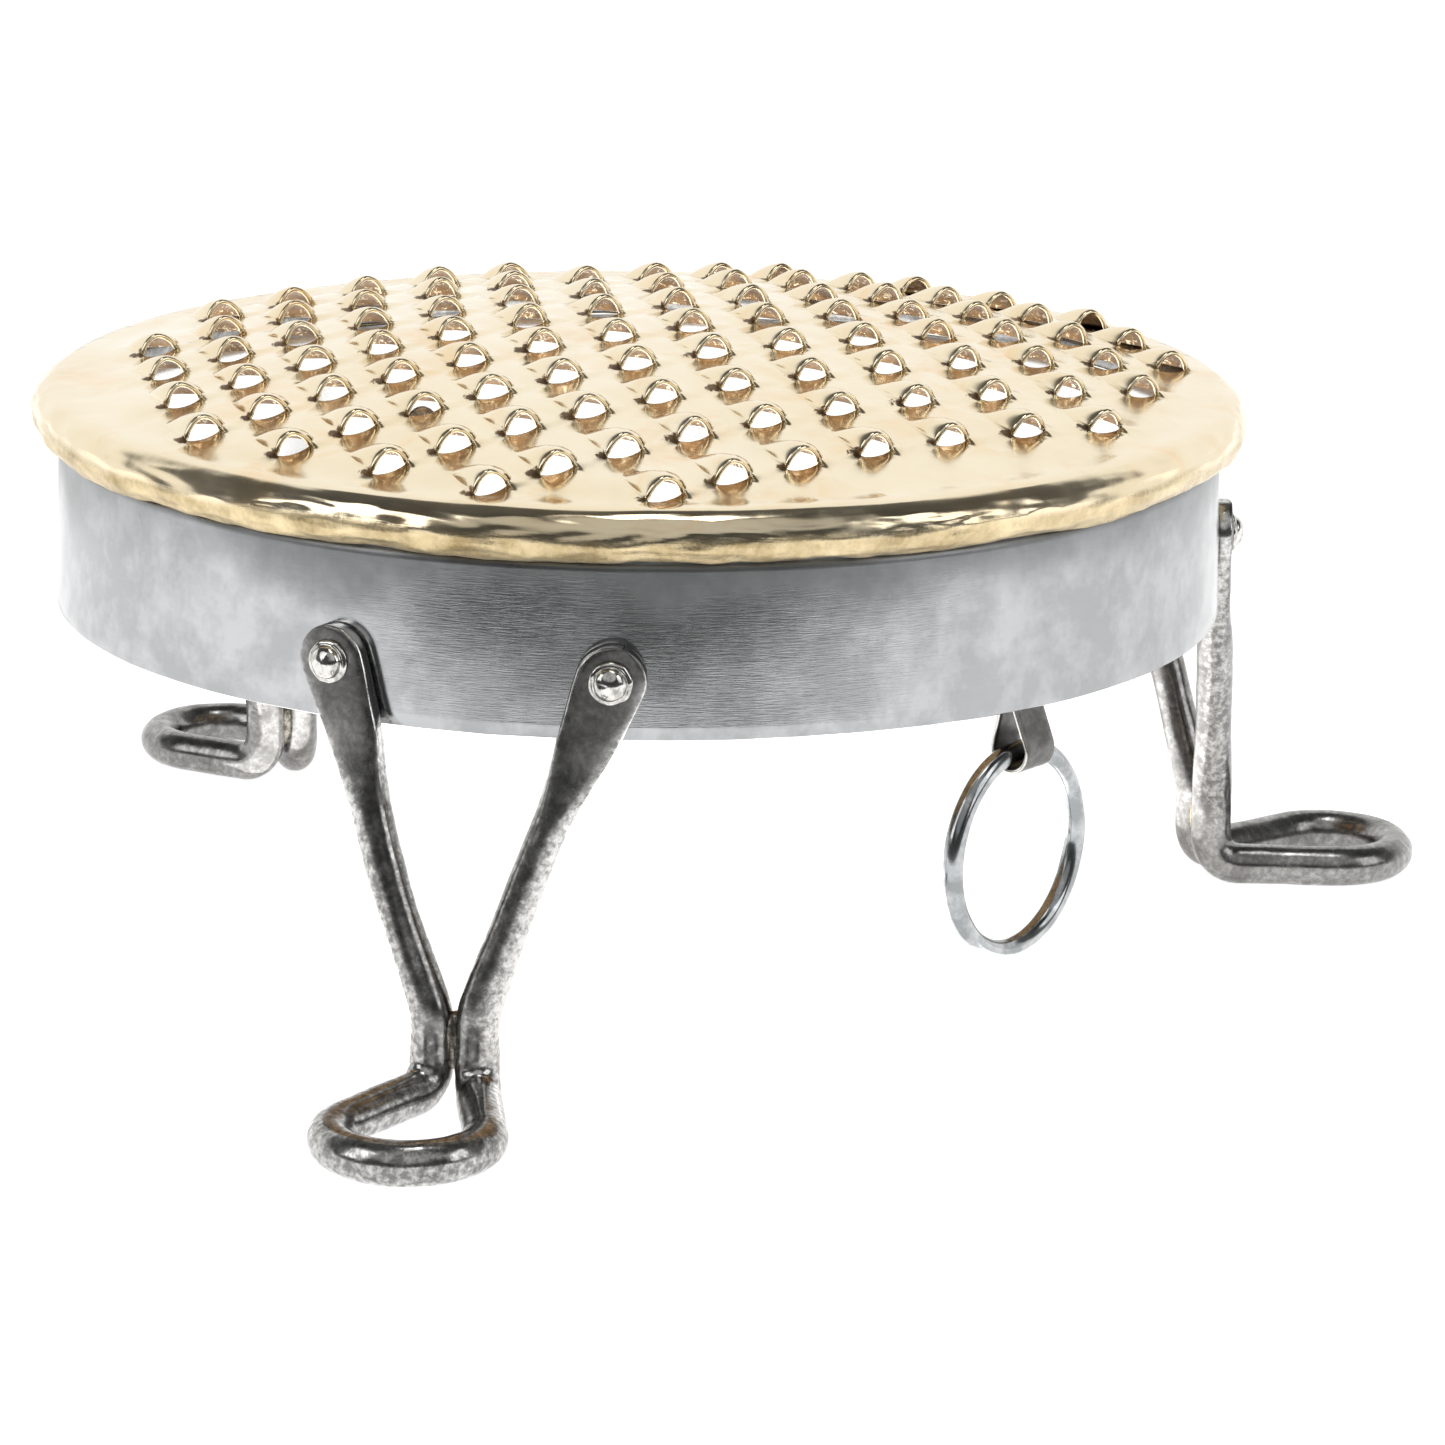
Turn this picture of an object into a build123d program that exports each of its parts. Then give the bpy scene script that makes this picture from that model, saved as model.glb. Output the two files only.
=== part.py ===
from build123d import *
import os
from math import asin, atan2, cos, degrees, hypot, pi, radians, sin, sqrt

# Footed round grater: a domed brass sheet with hooded teeth, wrapped round a hoop on top of
# a steel skirt, on three legs bent from round bar, with a ring hanging in a folded strap.
# Millimetres. While it is built, Z is the dome's axis and the floor is z = 0; at the end every
# piece moves sideways together, so that the origin is the middle of the footprint.

# Driving dimensions
PLATE_R = 150.0  # outside of the rolled brass rim
BAR_R = 5.3  # round bar of the legs and of the hoop in the rim
SHEET = 1.2  # brass sheet
ROLL_Z = 133.05  # height of the hoop's centre
DOME_TOP = 152.6  # height of the crown of the dome
LIP_ANGLE = -80.0  # where the rolled sheet ends, about the hoop's centre

BAND_THICK = 1.5
BAND_TOP_R = 143.3  # the skirt flares by a millimetre
BAND_BOTTOM_R = 144.3
BAND_BOTTOM = 85.9

RIVET_Z = 100.35
RIVET_HALF_ANGLE = 12.88  # each leg's two rivets lie this far either side of the leg
LEGS = {"front": (-14.27, 154.5), "right": (107.57, 154.5), "rear": (218.30, 160.0)}  # azimuth, neck's radius
LOOP_R = 17.3  # centreline of the foot's loop
LOOP_AT = 190.0  # from the axis to the loop's centre
FOOT_FLAT = 0.4  # worn off the underside of each foot
NECK_TOP = 22.5  # below this the two arms run side by side down to the foot
ARM_BEND = 22.0
HEEL_BEND = 7.5
STRAND_GAP = 0.1  # between the two strands, filled by the braze
BRAZE = (4.6, 6.0, 9.0)

PADDLE_W = 16.6  # flattened end of an arm
PADDLE_T = 4.8
PADDLE_END_W = 14.4
PADDLE_LOW = 84.0  # height where the flat ends and the bar starts to round up
BAR_FULL = 66.0  # height where the bar is round

RIVET_SHANK_R = 2.5
RIVET_CLEAR = 0.05
RIVET_HEAD = (5.2, 3.6)  # radius and height
RIVET_TAIL = (4.2, 2.0)
TAIL_GAP = 0.12  # the flat underside of a tail rides on the edges of the curved band

RING_BAR_R = 2.5
RING_R = 23.9  # centreline
RING_SHIFT = 2.0  # the ring hangs this far off the middle of the strap
STRAP_AZIMUTH = 41.0
STRAP_TURN = 10.0  # the strap is riveted on slightly askew
STRAP_W = 11.0
STRAP_T = 1.05
STRAP_EYE_R = 4.4  # inside of the eye that the ring hangs in
STRAP_EYE_DROP = 10.3  # of the eye's centre below the skirt's edge
STRAP_BULGE = 2.7  # of the eye outside the skirt's inner face
EYE_PLAY = 0.1
STRAP_TOP = 106.0
STRAP_SPLIT = 98.0  # where the inner leaf leaves the outer one
STRAP_RIVET_Z = 101.5
STRAP_RIVET_R = 1.6

# Teeth: nine rows, each staggered against the next. Row 0 is the far one. The rows were set
# out by eye, so they bow, and the spacing along them swells and tightens.
TOOTH_R = 4.9  # half the width of the mouth
TOOTH_LENGTH = 15.0
TOOTH_WALL = 1.1
TOOTH_SINK = 0.6
TOOTH_TIP_R = 0.8
ROWS = [(1, 5), (0, 9), (0, 11), (0, 12), (0, 13), (1, 13), (2, 13), (3, 12), (5, 11)]
MIDDLE = (4, 6.5)  # row and column at the centre of the layout
CENTRE = (7.6, 0.2)
TOOTH_STEP = (16.0, 11.3)
ROW_STEP = (6.6, -29.0)
ROW_SPREAD = (0.26, 0.22)
SKEW = (0.20, 0.26)
BOW = (-0.074, -0.171)
SWELL = 9.3
SWELL_SHIFT = (0.88, 1.42)
SWELL_COLUMNS = 16.7
CUT_ANGLE = -55.6  # the way the mouths face, from +X


# Worked out from the driving dimensions
HOOP_R = PLATE_R - SHEET - BAR_R
ROLL_R = BAR_R + SHEET
BAND_TOP = ROLL_Z - BAR_R - 0.05
FLARE = degrees(atan2(BAND_BOTTOM_R - BAND_TOP_R, BAND_TOP - BAND_BOTTOM))
CROWN = DOME_TOP - ROLL_Z
DOME_R = (HOOP_R**2 + CROWN**2 - ROLL_R**2) / (2 * (CROWN - ROLL_R))
DOME_Z = DOME_TOP - DOME_R
FOOT_Z = BAR_R - FOOT_FLAT
EYE_R = STRAP_EYE_R + STRAP_T / 2


def turn(azimuth):
    """Turns a piece made at the front, on the -Y side, to an azimuth."""
    return Rot(0, 0, azimuth)


def band_r(z):
    """Outer radius of the skirt at a height."""
    share = (BAND_TOP - z) / (BAND_TOP - BAND_BOTTOM)
    return BAND_TOP_R + (BAND_BOTTOM_R - BAND_TOP_R) * share


def band_plane(azimuth, z, roll=0.0):
    """On the skirt's outer face: local X along the skirt, local Y up it, local Z outwards."""
    at = turn(azimuth) * Location((0, -band_r(z), z)) * Rot(90 - FLARE, 0, 0) * Rot(0, 0, roll)
    return at


def grater_plate():
    dome_centre = Vector(0, DOME_Z)
    hoop_centre = Vector(HOOP_R, ROLL_Z)
    lean = (hoop_centre - dome_centre).normalized()
    lip = Vector(cos(radians(LIP_ANGLE)), sin(radians(LIP_ANGLE)))
    out = Vector(1, 0)
    top_mid = (lean + Vector(0, 1)).normalized()

    def arc(centre, radius, start, middle, end):
        return ThreePointArc(centre + start * radius, centre + middle * radius, centre + end * radius)

    up = Vector(0, 1)
    edges = [
        arc(dome_centre, DOME_R, up, top_mid, lean),
        arc(hoop_centre, ROLL_R, lean, out, lip),
        Line(hoop_centre + lip * ROLL_R, hoop_centre + lip * BAR_R),
        arc(hoop_centre, BAR_R, lip, out, lean),
        arc(dome_centre, DOME_R - SHEET, lean, top_mid, up),
        Line(dome_centre + up * (DOME_R - SHEET), dome_centre + up * DOME_R),
    ]
    profile = Plane.XZ * make_face(Wire(edges))
    plate = revolve(profile, Axis.Z)
    hoods = []
    mouths = []
    for place in tooth_places():
        hoods.append(place * hood())
        mouths.append(place * mouth())
    return plate.fuse(*hoods).cut(*mouths)


def tooth_places():
    """Where each tooth stands: local X is the way its mouth faces, local Z is off the dome."""
    step = Vector(*TOOTH_STEP)
    for row, (first, last) in enumerate(ROWS):
        for column in range(first, last + 1):
            i = row - MIDDLE[0]
            j = column - MIDDLE[1]
            swell = SWELL * sin(2 * pi * (j - SWELL_SHIFT[0] * i - SWELL_SHIFT[1]) / SWELL_COLUMNS)
            spot = Vector(*CENTRE) + step * j + Vector(*ROW_STEP) * i + step.normalized() * swell
            spot += Vector(*ROW_SPREAD) * i * i + Vector(*SKEW) * i * j + Vector(*BOW) * j * j
            height = sqrt(DOME_R**2 - spot.X**2 - spot.Y**2)
            off = Vector(spot.X, spot.Y, height).normalized()
            cut = Vector(cos(radians(CUT_ANGLE)), sin(radians(CUT_ANGLE)), 0)
            cut = (cut - off * cut.dot(off)).normalized()
            yield Plane(origin=off * DOME_R + Vector(0, 0, DOME_Z), x_dir=cut, z_dir=off)


def hood():
    """Half a cone lying on the sheet, its wide end at the slit."""
    half = Polyline((0, 0), (0, TOOTH_R), (-TOOTH_LENGTH, TOOTH_TIP_R), (-TOOTH_LENGTH, 0), close=True)
    return Pos(0, 0, -TOOTH_SINK) * revolve(make_face(half), Axis.X, 180)


def mouth():
    """What is open inside a hood, down through the sheet."""
    inside = TOOTH_R - TOOTH_WALL
    half = Polyline((0, 0), (0, inside), (-TOOTH_LENGTH + 3.0, 0), close=True)
    return Pos(0, 0, -TOOTH_SINK) * revolve(make_face(half), Axis.X, 360)


def rim_hoop():
    return Pos(0, 0, ROLL_Z) * Torus(HOOP_R, BAR_R)


def skirt_band():
    wall = Polyline(
        (BAND_TOP_R, BAND_TOP),
        (BAND_BOTTOM_R, BAND_BOTTOM),
        (BAND_BOTTOM_R - BAND_THICK, BAND_BOTTOM),
        (BAND_TOP_R - BAND_THICK, BAND_TOP),
        close=True,
    )
    band = revolve(Plane.XZ * make_face(wall), Axis.Z)
    holes = []
    for azimuth, _ in LEGS.values():
        for side in (-1, 1):
            bore = Cylinder(RIVET_SHANK_R + RIVET_CLEAR, 20)
            holes.append(band_plane(azimuth + side * RIVET_HALF_ANGLE, RIVET_Z) * bore)
    holes.append(band_plane(STRAP_AZIMUTH, STRAP_RIVET_Z) * Cylinder(STRAP_RIVET_R + RIVET_CLEAR, 20))
    return band.cut(*holes)


def leg(neck_r):
    """A leg at the front. One bar: down an arm, round the foot's loop and up the other arm."""
    half_gap = BAR_R + STRAND_GAP / 2
    neck = Vector(half_gap, -neck_r, NECK_TOP)
    heel = Vector(half_gap, -neck_r, FOOT_Z)
    reach = hypot(LOOP_AT - neck_r, half_gap)
    spread = asin(LOOP_R / reach) - atan2(half_gap, LOOP_AT - neck_r)
    run = sqrt(reach**2 - LOOP_R**2)
    tangent = heel + Vector(run * sin(spread), -run * cos(spread), 0)
    low = arm_plane(neck, PADDLE_LOW)
    full = low.origin + (neck - low.origin) * ((PADDLE_LOW - BAR_FULL) / (PADDLE_LOW - NECK_TOP))
    right = FilletPolyline(full, neck, heel, tangent, radius=[ARM_BEND, HEEL_BEND])
    outermost = Vector(0, -(LOOP_AT + LOOP_R), FOOT_Z)
    loop = ThreePointArc(tangent, outermost, Vector(-tangent.X, tangent.Y, tangent.Z))
    left = mirror(right, Plane.YZ)
    path = Wire(right.edges() + [loop] + left.edges())
    start = Plane(origin=full, z_dir=neck - full, x_dir=low.x_dir)
    bar = sweep(start * Circle(BAR_R), path=path)
    end = arm_end(arm_plane(neck, RIVET_Z), low, start)
    floor = Pos(0, -LOOP_AT, -10) * Box(400, 400, 20)
    return bar.fuse(end, mirror(end, Plane.YZ)).cut(floor)


def arm_plane(neck, z):
    """Across the right arm's flat end at a height: local X along its width, local Z down it."""
    at_rivet = Plane(band_plane(RIVET_HALF_ANGLE, RIVET_Z))
    middle = at_rivet.origin + at_rivet.z_dir * (PADDLE_T / 2)
    down = neck - middle
    down = (down - at_rivet.z_dir * down.dot(at_rivet.z_dir)).normalized()
    origin = middle + down * ((RIVET_Z - z) / -down.Z)
    return Plane(origin=origin, x_dir=down.cross(at_rivet.z_dir), z_dir=down)


def arm_end(at_rivet, low, full):
    """The flattened, riveted end of the right arm and the taper into the round bar."""
    length = (low.origin - at_rivet.origin).length
    flat = Plane(origin=at_rivet.origin, x_dir=at_rivet.x_dir, z_dir=at_rivet.x_dir.cross(at_rivet.z_dir))
    outline = Polyline(
        (-PADDLE_W / 2, 0),
        (PADDLE_W / 2, 0),
        (PADDLE_END_W / 2, length),
        (-PADDLE_END_W / 2, length),
        close=True,
    )
    blade = extrude(make_face(outline), PADDLE_T / 2, both=True) + Cylinder(PADDLE_W / 2, PADDLE_T)
    blade -= Cylinder(RIVET_SHANK_R + RIVET_CLEAR, 20)
    waist = Plane(
        origin=(low.origin + full.origin) * 0.5,
        x_dir=full.x_dir,
        z_dir=low.z_dir + full.z_dir,
    )
    taper = loft(
        [
            low * Ellipse(PADDLE_END_W / 2, PADDLE_T / 2),
            waist * Ellipse(6.1, 4.2),
            full * Circle(BAR_R),
        ]
    )
    turned = flat * blade
    return turned + taper


def braze(leg_solid, neck_r):
    """What fills the groove between the two strands of a neck."""
    return Pos(0, -neck_r, NECK_TOP - BRAZE[2] / 2) * Box(*BRAZE) - leg_solid


def rivet(shank_r, grip, head, tail):
    """Along Z: the grip is below z = 0, a domed head above it and a peened tail below."""
    head_r, head_h = head
    tail_r, tail_h = tail

    def dome(base_r, z, height):
        cap_r = (base_r**2 + height**2) / (2 * abs(height))
        half = asin(base_r / cap_r) / 2
        drop = cap_r * (1 - cos(half)) * (1 if height > 0 else -1)
        return (0, z + height), (cap_r * sin(half), z + height - drop), (base_r, z)

    top = ThreePointArc(*dome(head_r, 0, head_h))
    bottom = ThreePointArc(*reversed(dome(tail_r, -grip, -tail_h)))
    sides = Polyline((head_r, 0), (shank_r, 0), (shank_r, -grip), (tail_r, -grip))
    axis = Line((0, -grip - tail_h), (0, head_h))
    profile = make_face(Wire([top] + sides.edges() + [bottom, axis]))
    return revolve(Plane.XZ * profile, Axis.Z)


def leg_rivet(azimuth):
    grip = PADDLE_T + BAND_THICK + TAIL_GAP
    at = band_plane(azimuth, RIVET_Z) * Pos(0, 0, PADDLE_T)
    return at * rivet(RIVET_SHANK_R, grip, RIVET_HEAD, RIVET_TAIL)


def strap_plane():
    """Across the strap: local X outwards, local Y up, with the origin under the skirt's inner face."""
    inner = band_r(STRAP_RIVET_Z) - BAND_THICK
    at = turn(STRAP_AZIMUTH) * Location((0, -inner, 0)) * Rot(0, 0, STRAP_TURN)
    return Plane(at * Location(Plane(origin=(0, 0, 0), x_dir=(0, -1, 0), z_dir=(-1, 0, 0))))


def ring_strap():
    eye = Vector(STRAP_BULGE - STRAP_T - STRAP_EYE_R, BAND_BOTTOM - STRAP_EYE_DROP)
    askew = STRAP_W / 2 * sin(radians(STRAP_TURN)) + 0.45
    outer_x = -askew - STRAP_T / 2
    inner_x = outer_x - STRAP_T - 0.02
    outer = [Vector(outer_x, STRAP_TOP), Vector(outer_x, BAND_BOTTOM + 0.5)]
    inner = [Vector(inner_x, STRAP_TOP), Vector(inner_x, STRAP_SPLIT)]
    touch_out = tangent_point(eye, EYE_R, outer[1], 1)
    touch_in = tangent_point(eye, EYE_R, inner[1], -1)
    lowest = eye - Vector(0, EYE_R)
    line = [
        Line(outer[0], outer[1]),
        Line(outer[1], touch_out),
        ThreePointArc(touch_out, lowest, touch_in),
        Line(touch_in, inner[1]),
        Line(inner[1], inner[0]),
    ]
    faces = [trace_edge(edge) for edge in line]
    corners = [Pos(*corner) * Circle(STRAP_T / 2) for corner in (outer[1], inner[1])]
    profile = Sketch() + faces + corners
    strap = strap_plane() * extrude(profile, STRAP_W / 2, both=True)
    return strap - band_plane(STRAP_AZIMUTH, STRAP_RIVET_Z) * Cylinder(STRAP_RIVET_R + RIVET_CLEAR, 30)


def trace_edge(edge):
    """A strip of the strap's thickness along an edge."""
    start = Plane(origin=edge @ 0, z_dir=edge % 0, x_dir=(0, 0, 1))
    cross = Line(start.origin - start.y_dir * STRAP_T / 2, start.origin + start.y_dir * STRAP_T / 2)
    return sweep(cross, path=edge)


def tangent_point(centre, radius, point, side):
    """Where a line from a point touches a circle, on the side of larger or smaller X."""
    to = point - centre
    angle = atan2(to.Y, to.X) - side * (pi / 2 - asin(radius / to.length))
    return centre + Vector(cos(angle), sin(angle)) * radius


def strap_rivet():
    """Filed flush outside, domed inside."""
    askew = STRAP_W * sin(radians(STRAP_TURN)) + 2 * STRAP_T + 1.6
    shank = Pos(0, 0, -(BAND_THICK + askew) / 2) * Cylinder(STRAP_RIVET_R, BAND_THICK + askew)
    tail = Pos(0, 0, -BAND_THICK - askew) * Cylinder(2.8, 1.2)
    return band_plane(STRAP_AZIMUTH, STRAP_RIVET_Z) * (shank + tail)


def ring_pivot():
    """The middle of the ring's bar where it hangs in the strap's eye."""
    strap_edge = STRAP_W / 2 + RING_SHIFT
    lift = RING_R - sqrt((RING_R - RING_BAR_R) ** 2 - strap_edge**2) + EYE_PLAY
    eye = Vector(STRAP_BULGE - STRAP_T - STRAP_EYE_R, BAND_BOTTOM - STRAP_EYE_DROP - STRAP_EYE_R + lift)
    return strap_plane().from_local_coords(eye + Vector(0, 0, RING_SHIFT))


def hanging_ring():
    hang = Plane(origin=ring_pivot() - Vector(0, 0, RING_R), x_dir=(0, 0, 1), z_dir=strap_plane().x_dir)
    return hang * Torus(RING_R, RING_BAR_R)


def build():
    nodes = {
        "grater_plate": grater_plate(),
        "rim_hoop": rim_hoop(),
        "skirt_band": skirt_band(),
        "ring_strap": ring_strap(),
        "strap_rivet": strap_rivet(),
        "hanging_ring": hanging_ring(),
    }
    for name, (azimuth, neck_r) in LEGS.items():
        bent_bar = leg(neck_r)
        nodes[f"leg_{name}"] = turn(azimuth) * bent_bar
        nodes[f"braze_{name}"] = turn(azimuth) * braze(bent_bar, neck_r)
        for side, hand in ((-1, "left"), (1, "right")):
            nodes[f"rivet_{name}_{hand}"] = leg_rivet(azimuth + side * RIVET_HALF_ANGLE)
    return nodes


def main():
    os.makedirs("parts", exist_ok=True)
    nodes = build()
    boxes = [node.bounding_box() for node in nodes.values()]
    middle_x = (min(box.min.X for box in boxes) + max(box.max.X for box in boxes)) / 2
    middle_y = (min(box.min.Y for box in boxes) + max(box.max.Y for box in boxes)) / 2
    to_origin = Pos(-middle_x, -middle_y, 0)
    print("dome axis", -middle_x, -middle_y)
    print("ring pivot", (to_origin * Pos(*ring_pivot())).position, "axis", strap_plane().z_dir)
    for name, node in nodes.items():
        export_step(to_origin * node, f"parts/{name}.step")


main()
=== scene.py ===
import math
import random

import bpy
import numpy as np
from mathutils import Euler, Matrix, Vector, noise
from mathutils.geometry import delaunay_2d_cdt

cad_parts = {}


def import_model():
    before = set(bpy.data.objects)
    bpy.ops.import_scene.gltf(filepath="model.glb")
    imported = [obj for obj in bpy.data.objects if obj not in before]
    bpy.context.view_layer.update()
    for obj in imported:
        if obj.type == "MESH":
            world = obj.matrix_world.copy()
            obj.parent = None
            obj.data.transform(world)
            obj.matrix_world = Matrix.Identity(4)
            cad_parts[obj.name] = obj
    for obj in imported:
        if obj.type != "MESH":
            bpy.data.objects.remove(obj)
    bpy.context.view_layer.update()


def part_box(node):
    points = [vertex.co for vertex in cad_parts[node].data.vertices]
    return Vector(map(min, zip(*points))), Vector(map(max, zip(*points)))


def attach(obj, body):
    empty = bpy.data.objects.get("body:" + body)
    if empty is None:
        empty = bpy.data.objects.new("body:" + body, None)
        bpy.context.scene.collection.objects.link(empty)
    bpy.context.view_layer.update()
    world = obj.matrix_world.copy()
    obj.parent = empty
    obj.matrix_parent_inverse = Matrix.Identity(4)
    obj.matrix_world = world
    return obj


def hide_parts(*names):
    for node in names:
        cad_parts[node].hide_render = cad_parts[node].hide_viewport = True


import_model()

MM = 0.001

# ---------------------------------------------------------------- the part's driving sizes, mm
PLATE_R = 150.0
BAR_R = 5.3
SHEET = 1.2
ROLL_Z = 133.05
DOME_TOP = 152.6
LIP_ANGLE = -80.0
BAND_THICK = 1.5
BAND_TOP_R = 143.3
BAND_BOTTOM_R = 144.3
BAND_BOTTOM = 85.9
RIVET_Z = 100.35
RIVET_HALF_ANGLE = 12.88
LEGS = {"front": (-14.27, 154.5), "right": (107.57, 154.5), "rear": (218.30, 160.0)}
ARM_BOWS = {"front": (-1.9, -0.5), "right": (-0.4, 0.4), "rear": (-0.4, 0.3)}  # sideways, halfway up
LEG_WEAR = {"front": 1.0, "right": 0.58, "rear": 0.60}
FOLD_Z = 11.5  # height of the bulge where the bar was folded at the heel
CREASE_Z = 8.6  # and of the crease under it
LOOP_R = 17.3
LOOP_AT = 190.0
FOOT_FLAT = 0.4
NECK_TOP = 22.5
ARM_BEND = 22.0
HEEL_BEND = 7.5
STRAND_GAP = 0.1
PADDLE_W = 16.6
PADDLE_T = 4.8
PADDLE_LOW = 84.0
BAR_FULL = 66.0
LOW_HALF = 6.7  # half the width of an arm at the skirt's edge
ARM_R = 4.75  # the bar is drawn down a little between its flat end and its neck
RIVET_HEAD_R = 5.2
RIVET_HEAD_H = 3.6
RIVET_TAIL_R = 4.2
RIVET_TAIL_H = 2.0
RIVET_SHANK_R = 2.5
RING_BAR_R = 2.5
RING_R = 23.9
STRAP_AZIMUTH = 41.0
STRAP_TURN = 10.0
STRAP_W = 11.0
STRAP_T = 1.05
STRAP_EYE_R = 4.4
STRAP_EYE_DROP = 10.3
STRAP_BULGE = 2.7
STRAP_TOP = 106.0
STRAP_SPLIT = 98.0
STRAP_RIVET_Z = 101.5
TOOTH_R = 4.9
ROWS = [(1, 5), (0, 9), (0, 11), (0, 12), (0, 13), (1, 13), (2, 13), (3, 12), (5, 11)]
MIDDLE = (4, 6.5)
CENTRE = (7.6, 0.2)
TOOTH_STEP = (16.0, 11.3)
ROW_STEP = (6.6, -29.0)
ROW_SPREAD = (0.26, 0.22)
SKEW = (0.20, 0.26)
BOW = (-0.074, -0.171)
SWELL = 9.3
SWELL_SHIFT = (0.88, 1.42)
SWELL_COLUMNS = 16.7
CUT_ANGLE = math.radians(-55.6)

HOOP_R = PLATE_R - SHEET - BAR_R
ROLL_R = BAR_R + SHEET
BAND_TOP = ROLL_Z - BAR_R - 0.05
CROWN = DOME_TOP - ROLL_Z
DOME_R = (HOOP_R**2 + CROWN**2 - ROLL_R**2) / (2 * (CROWN - ROLL_R))
DOME_Z = DOME_TOP - DOME_R
FOOT_Z = BAR_R - FOOT_FLAT
FLARE = math.atan2(BAND_BOTTOM_R - BAND_TOP_R, BAND_TOP - BAND_BOTTOM)
EYE_R = STRAP_EYE_R + STRAP_T / 2

skirt_low, skirt_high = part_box("skirt_band")
AXIS = Vector(((skirt_low.x + skirt_high.x) / 2, (skirt_low.y + skirt_high.y) / 2, 0)) / MM


# ---------------------------------------------------------------- mesh helpers
def make_object(name, points, faces, material, body, nodes, marks=None):
    """A smooth mesh from points in mm about the dome's axis, riding a body in place of CAD nodes."""
    mesh = bpy.data.meshes.new(name)
    places = (np.asarray(points, float) + np.array(AXIS)) * MM
    mesh.from_pydata(places.tolist(), [], faces)
    mesh.polygons.foreach_set("use_smooth", [True] * len(mesh.polygons))
    for mark, values in (marks or {}).items():
        layer = mesh.attributes.new(mark, "FLOAT", "POINT")
        layer.data.foreach_set("value", np.asarray(values, np.float32))
    mesh.validate()
    mesh.update()
    obj = bpy.data.objects.new(name, mesh)
    bpy.context.scene.collection.objects.link(obj)
    mesh.materials.append(material)
    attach(obj, body)
    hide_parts(*nodes)
    return obj


def face_out(faces, points):
    """The faces, all turned over if the closed mesh encloses a negative volume."""
    total = 0.0
    pts = np.asarray(points)
    for f in faces:
        for k in range(1, len(f) - 1):
            total += np.dot(pts[f[0]], np.cross(pts[f[k]], pts[f[k + 1]]))
    return [tuple(reversed(f)) for f in faces] if total < 0 else faces


def strip(rings, closed_ring=True, closed_path=False, cap=True):
    """Faces that join rings of equal count, given as lists of point numbers."""
    faces = []
    count = len(rings[0])
    last = len(rings) if closed_path else len(rings) - 1
    for i in range(last):
        a, b = rings[i], rings[(i + 1) % len(rings)]
        for k in range(count if closed_ring else count - 1):
            m = (k + 1) % count
            faces.append((a[k], a[m], b[m], b[k]))
    if cap and not closed_path:
        faces.append(tuple(reversed(rings[0])))
        faces.append(tuple(rings[-1]))
    return faces


def rough(place, scale, seed=0.0, octaves=3):
    """Smooth noise from about -1 to 1 at a place in mm, with features about scale mm across."""
    p = Vector(place) / scale + Vector((seed, seed * 1.7, -seed))
    return noise.fractal(p, 0.8, 2.0, octaves)


def turned(points, azimuth):
    """Points turned about the dome's axis from the front to an azimuth in degrees."""
    a = math.radians(azimuth)
    spin = np.array([[math.cos(a), -math.sin(a), 0], [math.sin(a), math.cos(a), 0], [0, 0, 1]])
    return np.asarray(points, float) @ spin.T


def band_r(z):
    return BAND_TOP_R + (BAND_TOP - z) * math.tan(FLARE)


def smooth(x, low, high):
    t = np.clip((x - low) / (high - low), 0, 1)
    return t * t * (3 - 2 * t)


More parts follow.
